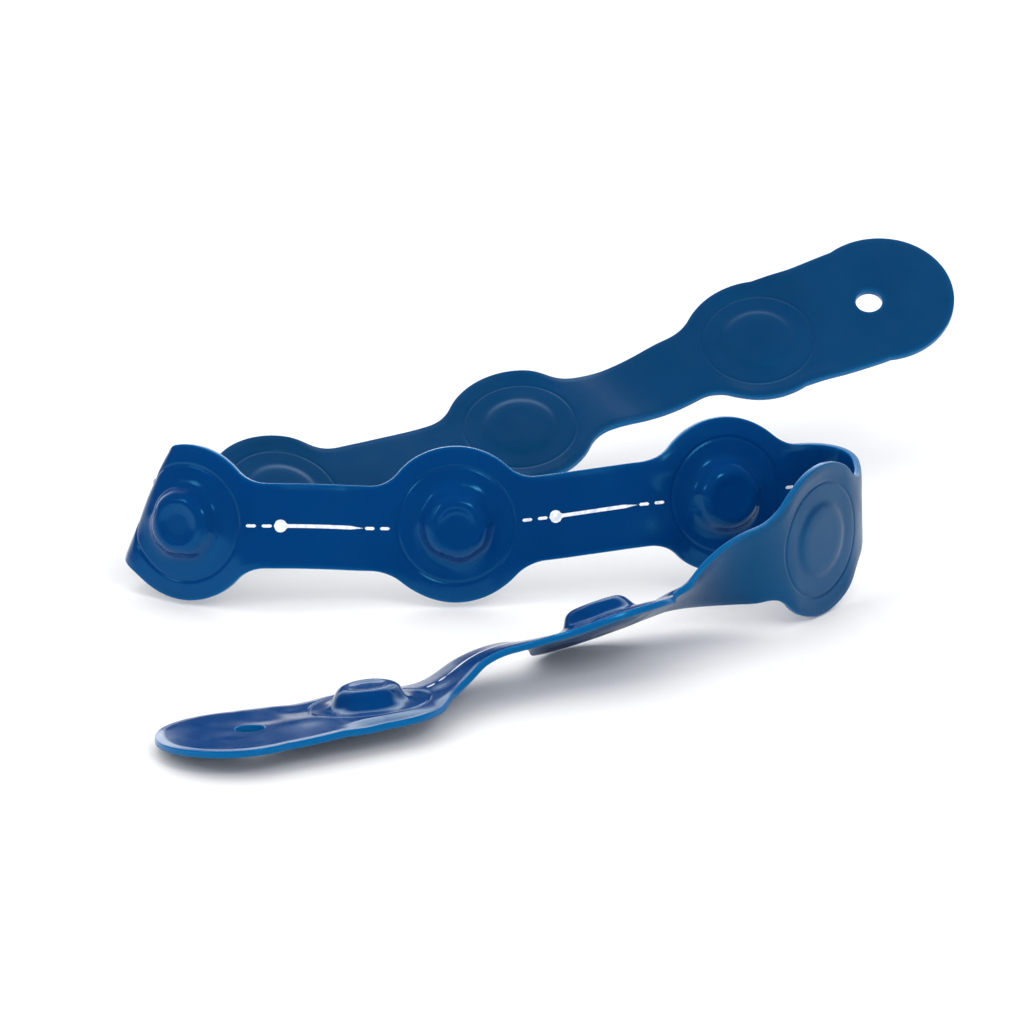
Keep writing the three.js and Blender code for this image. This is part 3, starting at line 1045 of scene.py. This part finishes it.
def add_tabs():
    for letter, facing, pod in (("a", -1, 1), ("b", 1, POD_COUNT)):
        body = f"tab_{letter}"
        cuts = sorted(facing * (LAST_MAGNET + cut) for cut in (TAB_POD_CUT, TAB_CUT))
        ends = bend_ends(*[cut_points(cut, TAB_COLUMNS) for cut in cuts])
        for side in SIDES:
            add_stiff_sheet(body, side, tab_shell(facing, side))
            shell = strip_shell(*cuts, TAB_COLUMNS, side, TAB_BEND_ROWS)
            name = f"{body}_bend_{side}"
            add_bending_piece(name, shell, MATERIALS[side])


def add_necks():
    for first in range(1, POD_COUNT):
        low = (first - MIDDLE_POD) * PITCH + POD_CUT
        high = low + PITCH - 2 * POD_CUT
        ends = bend_ends(cut_points(low, NECK_COLUMNS), cut_points(high, NECK_COLUMNS))
        between = f"{first}_{first + 1}"
        for side in SIDES:
            shell = strip_shell(low, high, NECK_COLUMNS, side, NECK_ROWS)
            name = f"neck_{between}_{side}"
            add_bending_piece(name, shell, MATERIALS[side])
        name = f"print_{between}"
        add_bending_piece(name, print_shell(first), INK)


def finish_magnets():
    for number in range(1, POD_COUNT + 1):
        magnet = frame["nodes"][f"magnet_{number}"]
        for slot in magnet.material_slots:
            slot.material = NICKEL


add_pods()
add_tabs()
add_necks()
finish_magnets()

# ------------------------------------------------------------------ floor, light and camera

FLOOR_REACH = 6.0  # metres
FILL = 1.15  # how brightly the room lights every surface
DARK_ROOM = 0.03  # how bright the room in front of the strap looks in its reflections
BACKDROP = 2.8  # how bright the backdrop behind the strap looks in its reflections
BACKDROP_RISE = (0.5, 0.95)  # from where in the room's depth it brightens, from 0 to 1

# Places and sizes are in metres, and each lamp faces the middle of the floor.
SOFTBOXES = [
    {"name": "above", "place": (-0.15, 0.15, 1.3), "size": (2.2, 2.2), "power": 5, "mirrored": False},
    {"name": "front_right", "place": (0.52, -0.9, 1.0), "size": (0.3, 0.36), "power": 3.2},
    {"name": "front_left", "place": (-0.95, -0.7, 0.85), "size": (0.3, 0.36), "power": 1.6},
]

CAMERA_ELEVATION = 19.5
CAMERA_DISTANCE = 1.6  # metres
CAMERA_LENS = 238.6
AIM_FROM_MIDDLE_POD = Vector((0.0132, 0.0038, 0.0018))  # metres


def add_floor():
    mesh = bpy.data.meshes.new("floor")
    reach = FLOOR_REACH
    corners = [(-reach, -reach, 0), (reach, -reach, 0), (reach, reach, 0), (-reach, reach, 0)]
    mesh.from_pydata(corners, [], [(0, 1, 2, 3)])
    floor = bpy.data.objects.new("floor", mesh)
    bpy.context.scene.collection.objects.link(floor)
    material, _, _, shader = new_material("floor_white")
    shader.inputs["Base Color"].default_value = (0.88, 0.88, 0.885, 1)
    shader.inputs["Roughness"].default_value = 0.7
    mesh.materials.append(material)


def add_softbox(name, place, size, power, mirrored=True):
    light = bpy.data.lights.new(name, "AREA")
    light.shape = "RECTANGLE"
    light.size, light.size_y = size
    light.energy = power
    lamp = bpy.data.objects.new(name, light)
    lamp.location = place
    lamp.rotation_euler = (-Vector(place)).to_track_quat("-Z", "Y").to_euler()
    lamp.visible_glossy = mirrored
    bpy.context.scene.collection.objects.link(lamp)


def add_world():
    """Even light on every surface, from a room whose mirror image is a bright backdrop behind
    the strap and darkness elsewhere."""
    world = bpy.data.worlds.new("studio")
    world.use_nodes = True
    bpy.context.scene.world = world
    nodes, links = world.node_tree.nodes, world.node_tree.links
    place = nodes.new("ShaderNodeTexCoord")
    split = nodes.new("ShaderNodeSeparateXYZ")
    links.new(place.outputs["Generated"], split.inputs["Vector"])
    behind = add_range(nodes, links, split.outputs["Y"], DARK_ROOM, BACKDROP, *BACKDROP_RISE)
    path = nodes.new("ShaderNodeLightPath")
    strength = nodes.new("ShaderNodeMix")
    links.new(path.outputs["Is Glossy Ray"], strength.inputs["Factor"])
    strength.inputs["A"].default_value = FILL
    links.new(behind, strength.inputs["B"])
    links.new(strength.outputs["Result"], nodes["Background"].inputs["Strength"])
    nodes["Background"].inputs["Color"].default_value = (1, 1, 1, 1)


def add_camera():
    middle = Vector(ORIGIN * MM)
    elevation = math.radians(CAMERA_ELEVATION)
    back = Vector((0, -math.cos(elevation), math.sin(elevation)))
    camera = bpy.data.objects.new("camera", bpy.data.cameras.new("camera"))
    camera.data.lens = CAMERA_LENS
    camera.location = middle + AIM_FROM_MIDDLE_POD + back * CAMERA_DISTANCE
    camera.rotation_euler = (-back).to_track_quat("-Z", "Y").to_euler()
    bpy.context.scene.collection.objects.link(camera)
    bpy.context.scene.camera = camera


add_floor()
for softbox in SOFTBOXES:
    add_softbox(**softbox)
add_world()
add_camera()
bpy.context.scene.view_settings.view_transform = "Standard"
